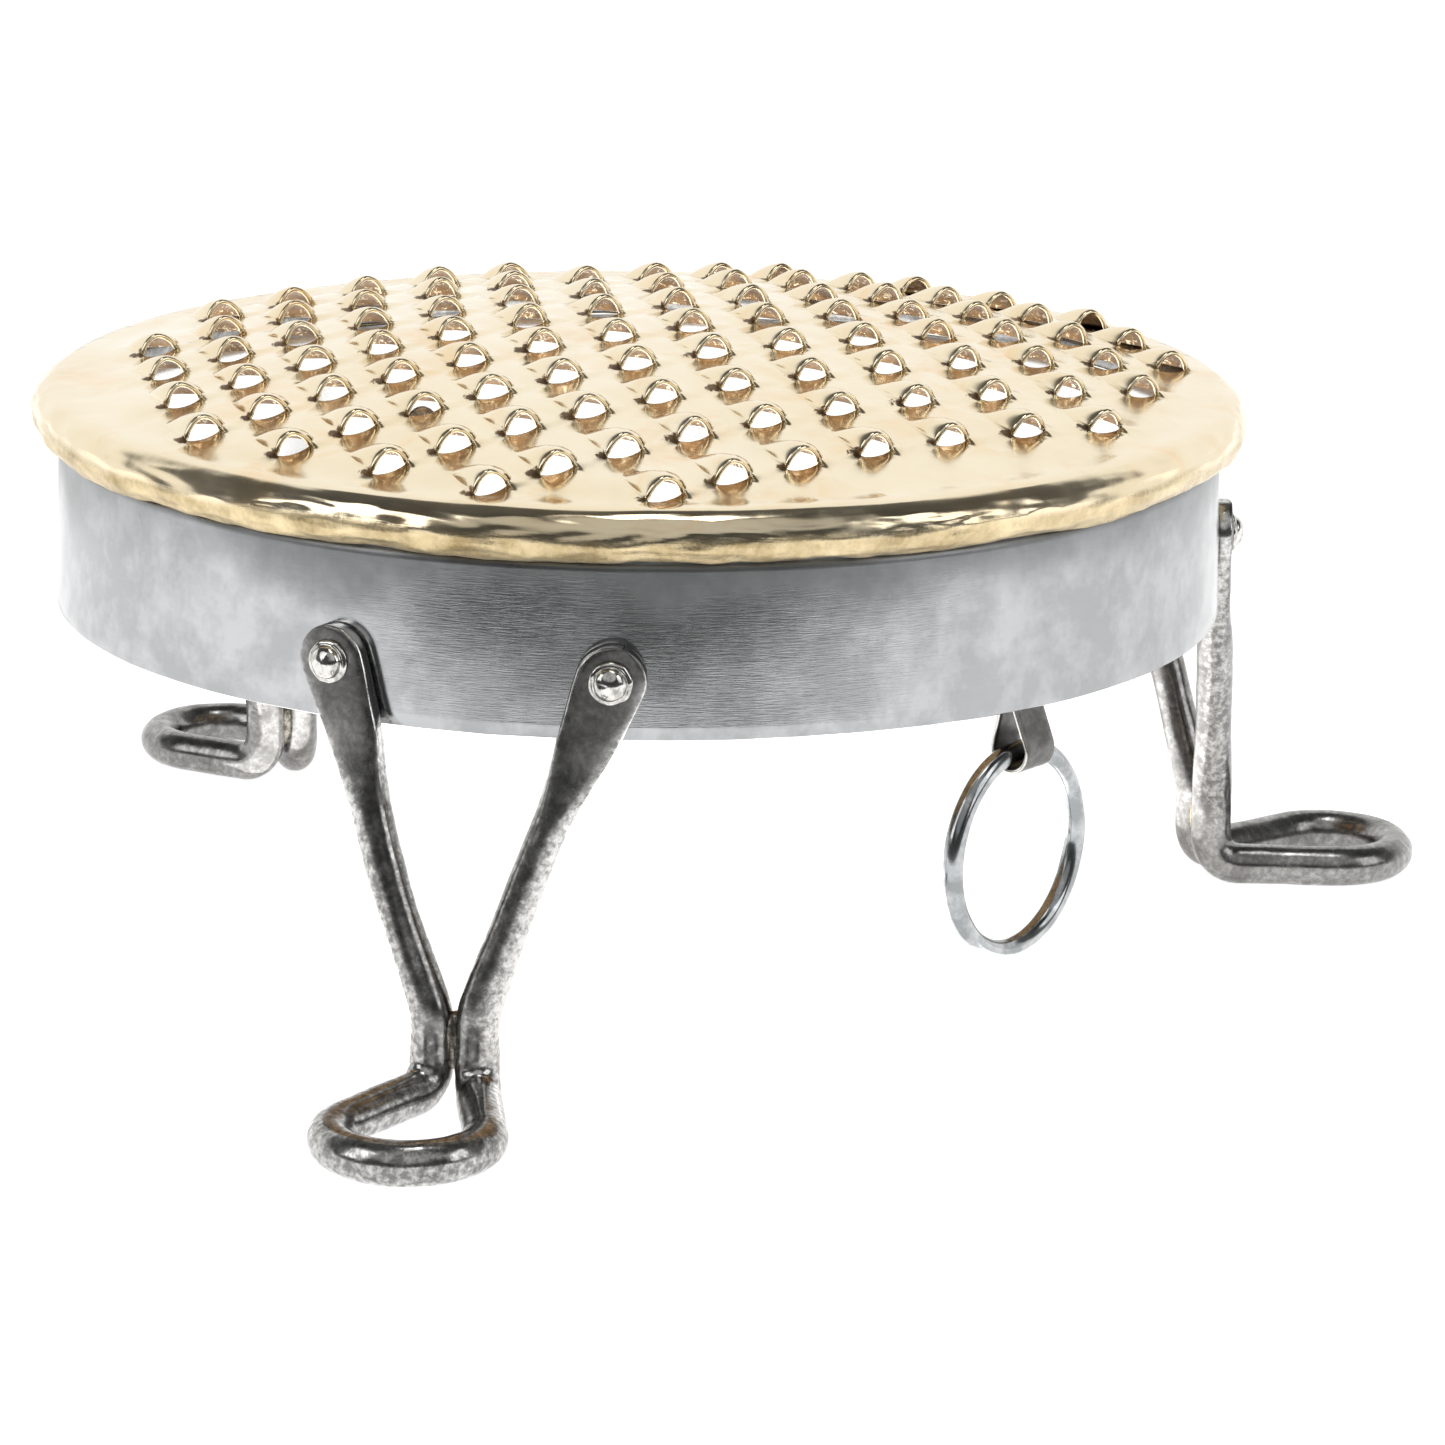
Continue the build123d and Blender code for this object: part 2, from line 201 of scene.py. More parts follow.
# ---------------------------------------------------------------- node materials
class Nodes:
    """A small helper that adds and links nodes of one material."""

    def __init__(self, name):
        self.material = bpy.data.materials.new(name)
        self.material.use_nodes = True
        self.tree = self.material.node_tree
        self.tree.nodes.clear()
        self.shader = self.add("ShaderNodeBsdfPrincipled")
        out = self.add("ShaderNodeOutputMaterial")
        self.link(self.shader.outputs[0], out.inputs["Surface"])
        self.where = self.add("ShaderNodeTexCoord").outputs["Object"]

    def add(self, kind, **values):
        node = self.tree.nodes.new(kind)
        for key, value in values.items():
            setattr(node, key, value)
        return node

    def link(self, a, b):
        self.tree.links.new(a, b)

    def put(self, value, socket):
        if hasattr(value, "is_linked"):
            self.link(value, socket)
        else:
            socket.default_value = value

    def noise(self, scale, detail=4.0, rough=0.55, distortion=0.0, where=None):
        node = self.add("ShaderNodeTexNoise")
        self.link(where or self.where, node.inputs["Vector"])
        node.inputs["Scale"].default_value = scale
        node.inputs["Detail"].default_value = detail
        node.inputs["Roughness"].default_value = rough
        node.inputs["Distortion"].default_value = distortion
        return node.outputs["Fac"]

    def stretched(self, scale, turn=(0, 0, 0), where=None):
        node = self.add("ShaderNodeMapping")
        self.link(where or self.where, node.inputs["Vector"])
        node.inputs["Rotation"].default_value = turn
        node.inputs["Scale"].default_value = scale
        return node.outputs[0]

    def ramp(self, fac, *stops):
        node = self.add("ShaderNodeValToRGB")
        self.link(fac, node.inputs["Fac"])
        ramp = node.color_ramp
        while len(ramp.elements) < len(stops):
            ramp.elements.new(0.5)
        for element, (at, colour) in zip(ramp.elements, stops):
            element.position = at
            if isinstance(colour, (int, float)):
                colour = (colour, colour, colour)
            element.color = (*colour, 1)
        return node.outputs["Color"]

    def mix(self, fac, a, b, blend="MIX"):
        node = self.add("ShaderNodeMix", data_type="RGBA", blend_type=blend)
        self.put(fac, node.inputs["Factor"])
        for value, socket in ((a, node.inputs["A"]), (b, node.inputs["B"])):
            socket = [s for s in node.inputs if s.name == socket.name and s.type == "RGBA"][0]
            self.put((*value, 1) if isinstance(value, tuple) else value, socket)
        return [s for s in node.outputs if s.type == "RGBA"][0]

    def math(self, operation, a, b=0.0, clamp=False):
        node = self.add("ShaderNodeMath", operation=operation, use_clamp=clamp)
        self.put(a, node.inputs[0])
        self.put(b, node.inputs[1])
        return node.outputs[0]

    def mark(self, name):
        return self.add("ShaderNodeAttribute", attribute_name=name).outputs["Fac"]

    def bump(self, height, distance, strength=1.0, under=None):
        node = self.add("ShaderNodeBump")
        self.link(height, node.inputs["Height"])
        node.inputs["Distance"].default_value = distance
        node.inputs["Strength"].default_value = strength
        if under is not None:
            self.link(under, node.inputs["Normal"])
        return node.outputs[0]

    def around(self):
        """Coordinates that run round the dome's axis: angle, radius, height."""
        middle = self.add("ShaderNodeVectorMath", operation="SUBTRACT")
        self.link(self.where, middle.inputs[0])
        middle.inputs[1].default_value = AXIS * MM
        parts = self.add("ShaderNodeSeparateXYZ")
        self.link(middle.outputs[0], parts.inputs[0])
        x, y, z = parts.outputs
        angle = self.math("ARCTAN2", y, x)
        radius = self.math("SQRT", self.math("ADD", self.math("MULTIPLY", x, x), self.math("MULTIPLY", y, y)))
        join = self.add("ShaderNodeCombineXYZ")
        self.link(angle, join.inputs[0])
        self.link(radius, join.inputs[1])
        self.link(z, join.inputs[2])
        return join.outputs[0]

    def finish(self, colour, roughness, normal, metallic=1.0):
        self.put(colour, self.shader.inputs["Base Color"])
        self.put(roughness, self.shader.inputs["Roughness"])
        self.put(normal, self.shader.inputs["Normal"])
        self.put(metallic, self.shader.inputs["Metallic"])
        return self.material


def brass_material():
    """Old polished brass: cream gold, browner where the patina mark says (patina in the tooth corners, with
    painted shadow streaks at the slit ends), bronze on the rim's lower lip (tarnish, with painted dark
    reflection heaviest at the front-left), with fine scratches.
    """
    n = Nodes("brass_sheet")
    cloudy = n.noise(14, 5, 0.6)
    tint = n.ramp(cloudy, (0.3, (0.83, 0.69, 0.46)), (0.55, (0.87, 0.755, 0.55)), (0.75, (0.90, 0.81, 0.64)))
    blush = n.ramp(n.noise(45, 4, 0.6, 0.6), (0.52, 0.0), (0.72, 0.55))
    tint = n.mix(blush, tint, (0.84, 0.56, 0.27))
    specks = n.ramp(n.noise(900, 6, 0.75), (0.62, 0.0), (0.75, 0.35))
    tint = n.mix(specks, tint, (0.42, 0.27, 0.13))
    streaks = n.noise(620, 5, 0.75, 1.0, n.stretched((1.0, 0.40, 1.0), (0, 0, CUT_ANGLE)))
    # patina in the teeth's corners, with painted shadow streaks at the slit ends
    patina_and_shade = n.math("MULTIPLY", n.mark("patina_and_shade"), n.math("ADD", n.math("MULTIPLY", streaks, 2.2), -0.35))
    patina_and_shade = n.ramp(patina_and_shade, (0.32, 0.0), (0.47, 1.0))
    patina_and_shadow_tint = n.ramp(n.noise(160, 5, 0.65), (0.35, (0.10, 0.055, 0.022)), (0.65, (0.24, 0.14, 0.06)))
    tint = n.mix(patina_and_shade, tint, patina_and_shadow_tint)
    rubbed = n.noise(150, 6, 0.7, 0.8)
    # tarnish on the rim's lower lip, with painted dark reflection
    dull_and_reflection = n.math("MULTIPLY", n.mark("tarnish_and_reflection"), n.math("ADD", rubbed, 0.45), True)
    bronze_and_reflection = n.ramp(n.noise(90, 6, 0.7), (0.33, (0.36, 0.26, 0.12)), (0.67, (0.84, 0.69, 0.42)))
    tint = n.mix(dull_and_reflection, tint, bronze_and_reflection)
    scratch_a = n.noise(420, 3, 0.6, 0.0, n.stretched((1.0, 0.03, 1.0), (0, 0, 0.5)))
    scratch_b = n.noise(520, 3, 0.6, 0.0, n.stretched((0.035, 1.0, 1.0), (0, 0, 0.25)))
    scratches = n.math("ADD", scratch_a, scratch_b)
    shine = n.ramp(n.noise(60, 5, 0.65), (0.35, 0.12), (0.7, 0.24))
    shine = n.mix(dull_and_reflection, shine, (0.34, 0.34, 0.34))
    shine = n.mix(patina_and_shade, shine, (0.45, 0.45, 0.45))
    normal = n.bump(scratches, 0.00002, 0.35)
    normal = n.bump(n.noise(110, 3, 0.5), 0.0004, 0.16, normal)
    nicks = n.math("MULTIPLY", n.mark("tarnish_and_reflection"), n.noise(700, 5, 0.7, 0.0, n.stretched((1.0, 1.0, 0.35))))
    normal = n.bump(nicks, 0.0005, 0.7, normal)
    return n.finish(tint, shine, normal)


def steel_material(name, dark, light, worn, grain, pit, shine, metallic=0.9, brushed=False):
    """Bare or forged steel: mottled from dark to light, bright where the worn mark and high spots are."""
    n = Nodes(name)
    mottle = n.noise(grain, 6, 0.65, 0.5)
    tint = n.ramp(mottle, (0.34, dark), (0.66, light))
    fine = n.noise(grain * 5, 4, 0.65)
    tint = n.mix(n.ramp(fine, (0.42, 0.5), (0.62, 0.0)), tint, tuple(c * 0.55 for c in dark))
    # this mark darkens the colour: painted shade at the top of the skirt; on the legs, a darker middle on
    # each paddle's flat face
    grime_and_shade = n.math("MULTIPLY", n.mark("grime_and_shade"), n.math("ADD", n.noise(grain * 1.6, 5, 0.7, 0.8), 0.35), True)
    tint = n.mix(grime_and_shade, tint, tuple(c * 0.30 for c in dark))
    wear = n.math("MULTIPLY", n.mark("worn"), n.math("ADD", n.math("MULTIPLY", fine, 1.6), 0.1))
    wear = n.ramp(wear, (0.32, 0.0), (0.62, 1.0))
    tint = n.mix(wear, tint, worn)
    where = n.around() if brushed else n.stretched((1, 1, 1))
    stretch = (0.5, 1.0, 60.0) if brushed else (9.0, 9.0, 9.0)
    lines = n.noise(60, 4, 0.6, 0.0, n.stretched(stretch, (0, 0, 0), where))
    if brushed:
        tint = n.mix(0.14, tint, n.ramp(lines, (0.35, dark), (0.65, light)))
    # painted light: the skirt's inner face is near white, standing in for the white light seen through the
    # tooth mouths
    tint = n.mix(n.mark("painted_bright_inside"), tint, (0.95, 0.95, 0.94))
    roughness = n.ramp(n.noise(grain * 2.2, 5, 0.6), (0.3, shine[0]), (0.7, shine[1]))
    roughness = n.mix(wear, roughness, (shine[0] * 0.7,) * 3)
    roughness = n.mix(grime_and_shade, roughness, (0.5, 0.5, 0.5))
    normal = n.bump(n.noise(grain * 3, 4, 0.6), pit, 0.38)
    normal = n.bump(lines, 0.00003, 0.5, normal)
    return n.finish(tint, roughness, normal, metallic)


BRASS = brass_material()
# each steel: dark, light and worn colour, grain, depth of pits, range of roughness
FORGED = steel_material(
    "forged_steel", (0.21, 0.206, 0.200), (0.48, 0.475, 0.465), (0.76, 0.755, 0.74),
    120, 0.00012, (0.16, 0.30), 1.0,
)
SKIRT = steel_material(
    "skirt_steel", (0.42, 0.43, 0.44), (0.52, 0.53, 0.54), (0.80, 0.80, 0.80),
    14, 0.00003, (0.11, 0.18), 1.0, True,
)
STRAP = steel_material(
    "strap_steel", (0.13, 0.127, 0.12), (0.26, 0.255, 0.25), (0.75, 0.74, 0.7),
    60, 0.0001, (0.3, 0.45),
)
ZINC = steel_material(
    "bright_zinc", (0.38, 0.40, 0.41), (0.48, 0.50, 0.51), (0.62, 0.63, 0.64),
    30, 0.00001, (0.12, 0.22), 1.0,
)
RIVET = steel_material(
    "rivet_steel", (0.35, 0.345, 0.33), (0.62, 0.61, 0.59), (0.85, 0.84, 0.80),
    90, 0.0001, (0.12, 0.25), 1.0,
)
TARNISHED = steel_material(
    "braze_tarnished", (0.05, 0.047, 0.042), (0.13, 0.12, 0.10), (0.3, 0.28, 0.24),
    140, 0.0004, (0.28, 0.45), 1.0,
)
BRAZED = steel_material(
    "braze_metal", (0.42, 0.27, 0.09), (0.80, 0.56, 0.22), (0.92, 0.74, 0.4),
    110, 0.0004, (0.28, 0.45), 1.0,
)


# ---------------------------------------------------------------- the grater plate
def tooth_spots():
    """Where each tooth's slit is, in plan about the dome's axis."""
    step = np.array(TOOTH_STEP)
    along = step / np.linalg.norm(step)
    spots = []
    for row, (first, last) in enumerate(ROWS):
        for column in range(first, last + 1):
            i = row - MIDDLE[0]
            j = column - MIDDLE[1]
            phase = 2 * math.pi * (j - SWELL_SHIFT[0] * i - SWELL_SHIFT[1]) / SWELL_COLUMNS
            spot = np.array(CENTRE) + step * j + np.array(ROW_STEP) * i
            spot = spot + along * SWELL * math.sin(phase)
            spot = spot + np.array(ROW_SPREAD) * i * i + np.array(SKEW) * i * j + np.array(BOW) * j * j
            spots.append(spot)
    return spots


ROLL_START = math.asin(HOOP_R / (DOME_R - ROLL_R))
DOME_EDGE = HOOP_R + ROLL_R * math.sin(ROLL_START)
DARK_REFLECTION_SIDE = math.radians(-115)  # where the rim's lower lip is brownest, from +X: tarnish with painted dark reflection
HOOD_H = 4.05  # of the hood over the sheet at its mouth
DUNE_H = 1.35  # of the broad swelling that each hood stands on
VALLEY = 1.15  # how far the sheet between the swellings is sunk
DUNE_BACK = 24.0
DUNE_SIDE = 12.5
PATCH_BACK = 15.0
PATCH_FRONT = 4.0
PATCH_LEFT = 7.2
PATCH_RIGHT = 9.0
PATCH_GAP = 1.1  # between a tooth's patch of mesh and the nearest loose point
SHEET_STEP = 3.4  # between the loose points
RIM_STEPS = 400  # points round the rim
ROLL_STEPS = 30  # rows of points over the rolled edge
HOOD_BULGE = 3.4  # the hood spreads to its right behind the mouth
PRESSED = 0.7  # how far the sheet in front of a mouth is pressed down
U_BACK = (-15.0, -13.4, -11.8, -10.3, -8.8, -7.4, -6.1, -4.9, -3.8, -2.8, -1.9, -1.1, -0.45, 0.0)
U_FRONT = (0.0, 0.5, 1.2, 2.1, 3.0, 4.0)


def dome_z(x, y):
    return DOME_Z + np.sqrt(DOME_R**2 - x * x - y * y)


def along_tooth(places, spot, tooth):
    """How far places in plan lie ahead of a tooth's slit, and to its side."""
    forward = np.array([math.cos(tooth["turn"]), math.sin(tooth["turn"])])
    d = places - spot
    return d @ forward, d @ np.array([-forward[1], forward[0]])


def grater():
    """The plate: a patch of mesh for each tooth, loose points between them, and the rolled rim."""
    rnd = random.Random(11)
    spots = tooth_spots()
    facing = []
    for _ in spots:
        facing.append(
            {
                "turn": CUT_ANGLE + math.radians(rnd.uniform(-2.5, 2.5)),
                "height": rnd.uniform(0.92, 1.03),
                "width": rnd.uniform(0.95, 1.03),
                "lean": rnd.uniform(-0.25, 0.25),
                "grime_and_shade": rnd.uniform(0.45, 1.0),
            }
        )
    plan = []
    hood = []
    patina_and_shade = []
    quads = []
    outlines = []
    columns = [-2.0, -1.5, -1.2] + [math.sin(math.pi / 2 * k / 6) for k in range(-6, 7)] + [1.2, 1.5, 2.0]
    for spot, tooth in zip(spots, facing):
        forward = np.array([math.cos(tooth["turn"]), math.sin(tooth["turn"])])
        side = np.array([-forward[1], forward[0]])

        def row(u, front):
            """Adds one row of points across the patch and returns their numbers."""
            back = max(0.0, -u / PATCH_BACK)
            half = TOOTH_R * tooth["width"] * (1 - 0.58 * back**1.7)
            bulge = HOOD_BULGE * math.sin(math.pi * back**0.8) if not front else 0.0
            level = tooth["height"] * HOOD_H * (1 - back**2.0) ** 1.15
            numbers = []
            for s in columns:
                reach = half + bulge if s > 0 else half
                edge = PATCH_RIGHT if s > 0 else PATCH_LEFT
                over = max(0.0, abs(s) - 1.0)
                v = math.copysign(min(abs(s), 1.0) * reach + over * (edge - reach), s)
                rise = 0.0
                if abs(s) < 1:
                    arch = 1 - s * s
                    if front:
                        below = DUNE_H * tooth["height"] * (1 - abs(s) * half / DUNE_SIDE) ** 0.85
                        below *= 1 - float(smooth(u, -1.0, 3.5))
                        rise = -(below + PRESSED * math.exp(-((u / 3.0) ** 2))) * arch**0.5
                    else:
                        rise = level * arch**0.68 * (1 + tooth["lean"] * s * 0.5)
                numbers.append(len(plan))
                plan.append(spot + forward * u + side * v)
                hood.append(rise)
                past = abs(v) - half
                # painted shadow: a dark streak at each end of the slit, beside the hood's corners; the term
                # at the left corner is patina
                slit_end_shade = math.exp(-(((past - 0.6) / 1.0) ** 2)) * math.exp(-((u / 1.5) ** 2))
                left = 0.0
                if s < 0:
                    left = math.exp(-(((past - 1.2) / 1.7) ** 2)) * math.exp(-(((u + 0.6) / 3.0) ** 2))
                patina_and_shade.append(min(1.0, 0.5 * slit_end_shade + tooth["grime_and_shade"] * left))
            return numbers

        back_rows = [row(u, False) for u in U_BACK]
        front_rows = [row(u, True) for u in U_FRONT]
        # outside the slit the two sides share their points
        for k in (0, 1, 2, 3, -4, -3, -2, -1):
            front_rows[0][k] = back_rows[-1][k]
        for rows in (back_rows, front_rows):
            for a, b in zip(rows[:-1], rows[1:]):
                for k in range(len(columns) - 1):
                    quads.append((a[k], b[k], b[k + 1], a[k + 1]))
        left_side = [r[0] for r in back_rows] + [r[0] for r in front_rows[1:]]
        right_side = [r[-1] for r in back_rows] + [r[-1] for r in front_rows[1:]]
        outline = left_side + front_rows[-1][1:-1] + right_side[::-1] + back_rows[0][1:-1][::-1]
        outlines.append(outline)

    # the sheet between the patches
    plan_now = np.array(plan)
    total = len(plan)
    ring_count = RIM_STEPS
    inside = []
    step = SHEET_STEP
    rows_n = int(DOME_EDGE / (step * 0.866)) + 1
    for a in range(-rows_n, rows_n + 1):
        y = a * step * 0.866
        for b in range(-60, 61):
            x = (b + 0.5 * (a % 2)) * step
            if math.hypot(x, y) > DOME_EDGE - 2.0:
                continue
            inside.append((x, y))
    inside = np.array(inside)
    keep = np.ones(len(inside), bool)
    for spot, tooth in zip(spots, facing):
        u, v = along_tooth(inside, spot, tooth)
        beside = (v > -PATCH_LEFT - PATCH_GAP) & (v < PATCH_RIGHT + PATCH_GAP)
        keep &= ~((u > -PATCH_BACK - PATCH_GAP) & (u < PATCH_FRONT + PATCH_GAP) & beside)
    inside = inside[keep]
    turns = [2 * math.pi * k / ring_count for k in range(ring_count)]
    ring = [(DOME_EDGE * math.cos(a), DOME_EDGE * math.sin(a)) for a in turns]
    flat = []
    number = []
    edges = []
    for outline in outlines:
        start = len(flat)
        for n in outline:
            flat.append(tuple(plan_now[n]))
            number.append(n)
        for k in range(len(outline)):
            edges.append((start + k, start + (k + 1) % len(outline)))
    start = len(flat)
    ring_numbers = []
    for k, place in enumerate(ring):
        flat.append(place)
        number.append(total + k)
        ring_numbers.append(total + k)
        edges.append((start + k, start + (k + 1) % ring_count))
    for k, place in enumerate(inside):
        flat.append(tuple(place))
        number.append(total + ring_count + k)
    plan_all = np.vstack([plan_now, np.array(ring), inside])
    hood = np.array(hood + [0.0] * (ring_count + len(inside)))
    patina_and_shade = np.array(patina_and_shade + [0.0] * (ring_count + len(inside)))
    got = delaunay_2d_cdt([Vector(p) for p in flat], edges, [], 1, 1e-5)
    origin = [number[o[0]] if o else -1 for o in got[3]]
    triangles = []
    for f in got[2]:
        face = tuple(origin[k] for k in f)
        if -1 in face or len(set(face)) < 3:
            continue
        triangles.append(face)
    middles = plan_all[np.array(triangles)].mean(axis=1)
    drop = np.zeros(len(triangles), bool)
    for spot, tooth in zip(spots, facing):
        u, v = along_tooth(middles, spot, tooth)
        drop |= (u > -PATCH_BACK) & (u < PATCH_FRONT) & (v > -PATCH_LEFT) & (v < PATCH_RIGHT)
    triangles = [t for t, gone in zip(triangles, drop) if not gone]

    # heights: the dome, the broad swellings and the hoods
    x, y = plan_all[:, 0], plan_all[:, 1]
    dunes = np.zeros(len(plan_all))
    for spot, tooth in zip(spots, facing):
        u, v = along_tooth(plan_all, spot, tooth)
        behind = np.clip(1 - np.hypot(np.minimum(u, 0) / DUNE_BACK, v / DUNE_SIDE), 0, 1) ** 0.85
        lift = behind * (1 - smooth(u, -1.0, 3.5))
        dunes = np.maximum(dunes, DUNE_H * tooth["height"] * lift)
    fade = 1 - smooth(np.hypot(x, y), DOME_EDGE - 9, DOME_EDGE - 1)
    wobble = np.array([rough((a, b, 0), 38, 3.1, 2) * 0.22 for a, b in plan_all])
    height = (np.minimum(dunes, DUNE_H) + wobble - VALLEY) * fade + hood
    z = dome_z(x, y)
    outward = np.stack([x, y, z - DOME_Z], axis=1) / DOME_R
    top = np.stack([x, y, z], axis=1) + outward * height[:, None]

    # the rim rolled over the hoop, hammered down
    points = [tuple(p) for p in top]
    ring_rows = [ring_numbers]
    rolls = ROLL_STEPS
    tarnish_and_reflection = []
    for r in range(1, rolls + 1):
        row_numbers = []
        for k in range(ring_count):
            a = 2 * math.pi * k / ring_count
            where = (math.cos(a) * PLATE_R, math.sin(a) * PLATE_R, 0)
            lip = math.radians(LIP_ANGLE + 6 + 6 * rough(where, 14, 7.7, 3))
            t = math.pi / 2 - ROLL_START + (lip - (math.pi / 2 - ROLL_START)) * r / rolls
            place = (where[0], where[1], 22 * t)
            dent = 0.55 * (rough(place, 11, 5.0, 2) + 0.6) + 0.35 * 2.2 * (rough(where, 34, 1.0, 2) + 0.5)
            minor = ROLL_R - max(0.0, dent) * math.sin(math.pi * min(1, r / rolls * 2.4) / 2) - 0.02
            radius = HOOP_R + minor * math.cos(t)
            row_numbers.append(len(points))
            points.append((radius * math.cos(a), radius * math.sin(a), ROLL_Z + minor * math.sin(t)))
            edge = math.radians(8 + 14 * rough(where, 26, 12.0, 3))
            # painted dark reflection: the lower lip's bronze tarnish is heaviest on the front-left side
            dark_side = 0.62 + 0.38 * math.cos(a - DARK_REFLECTION_SIDE)
            tarnish_and_reflection.append(dark_side * float(1 - smooth(t, edge - 0.25, edge + 0.12)))
        ring_rows.append(row_numbers)
    roll_faces = []
    for a, b in zip(ring_rows[:-1], ring_rows[1:]):
        for k in range(ring_count):
            m = (k + 1) % ring_count
            roll_faces.append((a[k], b[k], b[m], a[m]))
    patina_and_shade = np.concatenate([patina_and_shade, np.zeros(len(points) - len(patina_and_shade))])
    tarnish_and_reflection = np.concatenate([np.zeros(len(top)), np.array(tarnish_and_reflection)])

    # turn every face up or out, then give the sheet its thickness with rounded cut edges
    pts = np.array(points)
    faces = []
    for f in quads + triangles + roll_faces:
        a, b, c = pts[f[0]], pts[f[1]], pts[f[2]]
        normal = np.cross(b - a, c - a)
        middle = (a + b + c) / 3
        if math.hypot(middle[0], middle[1]) > DOME_EDGE + 0.2 or middle[2] < ROLL_Z + 4:
            flat_r = math.hypot(middle[0], middle[1])
            beyond = flat_r - HOOP_R
            out = np.array([middle[0] / flat_r * beyond, middle[1] / flat_r * beyond, middle[2] - ROLL_Z])
        else:
            out = np.array([0, 0, 1.0])
        faces.append(f if np.dot(normal, out) > 0 else tuple(reversed(f)))
    return thicken(pts, faces, SHEET, patina_and_shade, tarnish_and_reflection)


def point_normals(pts, faces):
    normals = np.zeros_like(pts)
    for size in (3, 4):
        group = np.array([f for f in faces if len(f) == size])
        if not len(group):
            continue
        a, b, c = pts[group[:, 0]], pts[group[:, 1]], pts[group[:, 2]]
        if size == 4:
            flat = np.cross(c - a, pts[group[:, 3]] - b)
        else:
            flat = np.cross(b - a, c - a)
        for k in range(size):
            np.add.at(normals, group[:, k], flat)
    return normals / np.maximum(np.linalg.norm(normals, axis=1), 1e-9)[:, None]


def thicken(pts, faces, thickness, patina_and_shade, tarnish_and_reflection):
    """The sheet's upper faces, its under faces and a rounded strip along every open edge."""
    normals = point_normals(pts, faces)
    count = len(pts)
    under = pts - normals * thickness
    once = {}
    for f in faces:
        for k in range(len(f)):
            edge = (f[k], f[(k + 1) % len(f)])
            once[edge] = f
    border = [edge for edge in once if (edge[1], edge[0]) not in once]
    lean = {}
    for a, b in border:
        f = once[(a, b)]
        middle = pts[list(f)].mean(axis=0)
        across = np.cross(pts[b] - pts[a], normals[a])
        across /= max(np.linalg.norm(across), 1e-9)
        if np.dot(across, pts[a] - middle) < 0:
            across = -across
        for n in (a, b):
            lean[n] = lean.get(n, 0) + across
    extra = []
    mids = {}
    for n, way in lean.items():
        size = np.linalg.norm(way)
        way = way / size if size > 0.8 else way * 0
        mids[n] = []
        for share, bulge in ((0.0, 0.0), (0.22, 0.26), (0.5, 0.36), (0.78, 0.26), (1.0, 0.0)):
            if share in (0.0, 1.0):
                mids[n].append(n if share == 0.0 else n + count)
                continue
            mids[n].append(2 * count + len(extra))
            extra.append(pts[n] * (1 - share) + under[n] * share + way * bulge * thickness)
    everything = np.vstack([pts, under, np.array(extra)])
    all_faces = list(faces) + [tuple(k + count for k in reversed(f)) for f in faces]
    for a, b in border:
        for k in range(4):
            all_faces.append((mids[b][k], mids[a][k], mids[a][k + 1], mids[b][k + 1]))
    none = np.zeros(len(extra))
    marks = {
        "patina_and_shade": np.concatenate([patina_and_shade, np.full(count, 0.74), none]),
        "tarnish_and_reflection": np.concatenate([tarnish_and_reflection, tarnish_and_reflection, none]),
    }
    return everything, all_faces, marks


points, faces, marks = grater()
make_object("grater_sheet", points, faces, BRASS, "stand", ["grater_plate"], marks)


# ---------------------------------------------------------------- hoop, skirt
def torus(major, minor, around, across, place, wobble):
    """A ring of round bar: place(u, v, w) puts a point from the ring's own plane."""
    pts = []
    rings = []
    for k in range(around):
        a = 2 * math.pi * k / around
        ring = []
        for m in range(across):
            b = 2 * math.pi * m / across
            r = minor + wobble * rough((major * math.cos(a), major * math.sin(a), minor * b), 5, 2.2)
            ring.append(len(pts))
            flat = major + r * math.cos(b)
            pts.append(place(flat * math.cos(a), flat * math.sin(a), r * math.sin(b)))
        rings.append(ring)
    pts = np.array(pts)
    return pts, face_out(strip(rings, closed_path=True), pts)


pts, faces = torus(HOOP_R, BAR_R - 0.35, 240, 16, lambda a, b, c: (a, b, c + ROLL_Z), 0.12)
marks = {"worn": np.zeros(len(pts))}
make_object("hoop_bar", pts, faces, FORGED, "stand", ["rim_hoop"], marks)


